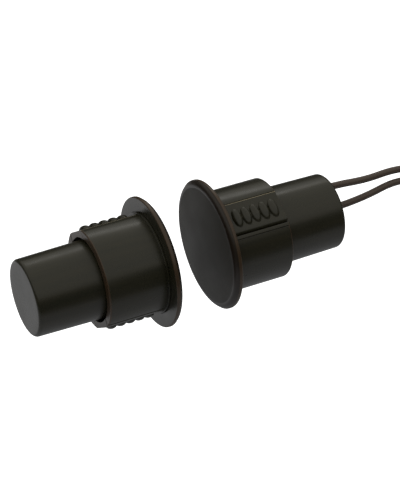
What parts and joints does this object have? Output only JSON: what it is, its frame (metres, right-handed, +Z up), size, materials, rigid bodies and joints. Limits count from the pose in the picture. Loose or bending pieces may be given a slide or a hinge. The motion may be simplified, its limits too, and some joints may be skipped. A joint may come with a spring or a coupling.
{
  "type": "recessed magnetic door contact",
  "caption": "Recessed magnetic contact for a steel door: a reed switch capsule and a magnet capsule, each with a domed flange in a ribbed press-in adapter sleeve.",
  "frame": {"origin": "on the common axis, in the seating plane of the switch half's flange", "axes": "+X along the common axis from the magnet half to the switch half, +Z up"},
  "size_m": [0.1359, 0.0328, 0.0554],
  "materials": {
    "housing_plastic": "injection-moulded ABS, satin to semi-gloss, very dark brown",
    "cap_plastic": "injection-moulded ABS, fine satin, very dark brown",
    "reed_glass": "clear greenish reed-switch glass",
    "reed_metal": "plated nickel-iron wire",
    "return_sleeving": "extruded sleeving",
    "solder": "bright soft solder",
    "inner_plastic": "natural moulded nylon",
    "epoxy": "cast black epoxy",
    "lead_insulation": "extruded PVC, dark brown, slight sheen",
    "tinned_copper": "tinned stranded copper",
    "tie_plastic": "moulded nylon tie",
    "magnet_alloy": "ground cast magnet alloy",
    "foam": "closed-cell foam"
  },
  "bodies": {
    "switch_half": {"switch_face_cap": "cap_plastic", "switch_capsule": "housing_plastic", "switch_sleeve": "housing_plastic", "reed_glass": "reed_glass", "reed_lead_front": "reed_metal", "reed_lead_rear": "reed_metal", "return_lead_sleeve": "return_sleeving", "solder_joint_front": "solder", "solder_joint_rear": "solder", "reed_cradle": "inner_plastic", "rear_potting": "epoxy", "lead_a": "lead_insulation", "lead_b": "lead_insulation", "lead_a_core": "tinned_copper", "lead_b_core": "tinned_copper", "lead_a_tail": "lead_insulation", "lead_b_tail": "lead_insulation", "lead_a_tip": "tinned_copper", "lead_b_tip": "tinned_copper", "lead_coil": "lead_insulation", "lead_tie": "tie_plastic"},
    "magnet_half": {"magnet_face_cap": "cap_plastic", "magnet_capsule": "housing_plastic", "magnet_sleeve": "housing_plastic", "magnet": "magnet_alloy", "magnet_holder": "inner_plastic", "magnet_spacer": "foam"},
    "switch_tongue_upper": {"switch_tongue_upper": "housing_plastic"},
    "switch_tongue_lower": {"switch_tongue_lower": "housing_plastic"},
    "magnet_tongue_upper": {"magnet_tongue_upper": "housing_plastic"},
    "magnet_tongue_lower": {"magnet_tongue_lower": "housing_plastic"},
    "reed_blade_front": {"reed_blade_front": "reed_metal"},
    "reed_blade_rear": {"reed_blade_rear": "reed_metal"}
  },
  "joints": [
    {"name": "magnet_travel", "type": "slide", "parent": "switch_half", "child": "magnet_half", "axis": [-1, 0, 0], "range_m": [0, 0.05]},
    {"name": "switch_tongue_upper_flex", "type": "hinge", "parent": "switch_half", "child": "switch_tongue_upper", "pos_m": [0.0011, -0.00565, 0.00979], "axis": [0, 0.866, 0.5], "range_deg": [0, 2.3], "stiffness_Nm_per_rad": 0.05},
    {"name": "switch_tongue_lower_flex", "type": "hinge", "parent": "switch_half", "child": "switch_tongue_lower", "pos_m": [0.0011, 0.00565, -0.00979], "axis": [0, -0.866, -0.5], "range_deg": [0, 2.3], "stiffness_Nm_per_rad": 0.05},
    {"name": "magnet_tongue_upper_flex", "type": "hinge", "parent": "magnet_half", "child": "magnet_tongue_upper", "pos_m": [-0.0186, 0.0068, 0.00903], "axis": [0, -0.7986, 0.6018], "range_deg": [0, 2.3], "stiffness_Nm_per_rad": 0.05},
    {"name": "magnet_tongue_lower_flex", "type": "hinge", "parent": "magnet_half", "child": "magnet_tongue_lower", "pos_m": [-0.0186, -0.0068, -0.00903], "axis": [0, 0.7986, -0.6018], "range_deg": [0, 2.3], "stiffness_Nm_per_rad": 0.05},
    {"name": "reed_blade_front_flex", "type": "hinge", "parent": "switch_half", "child": "reed_blade_front", "pos_m": [0.00655, 0.00003, 0.00011], "axis": [0, -0.9659, 0.2588], "range_deg": [0, 1.2]},
    {"name": "reed_blade_rear_flex", "type": "hinge", "parent": "switch_half", "child": "reed_blade_rear", "pos_m": [0.01845, -0.00003, -0.00011], "axis": [0, -0.9659, 0.2588], "range_deg": [0, 1.2]}
  ],
  "couplings": [
    {"joint": "reed_blade_front_flex", "follows": "magnet_travel", "rad_per_m": 0.34},
    {"joint": "reed_blade_rear_flex", "follows": "magnet_travel", "rad_per_m": 0.34}
  ]
}
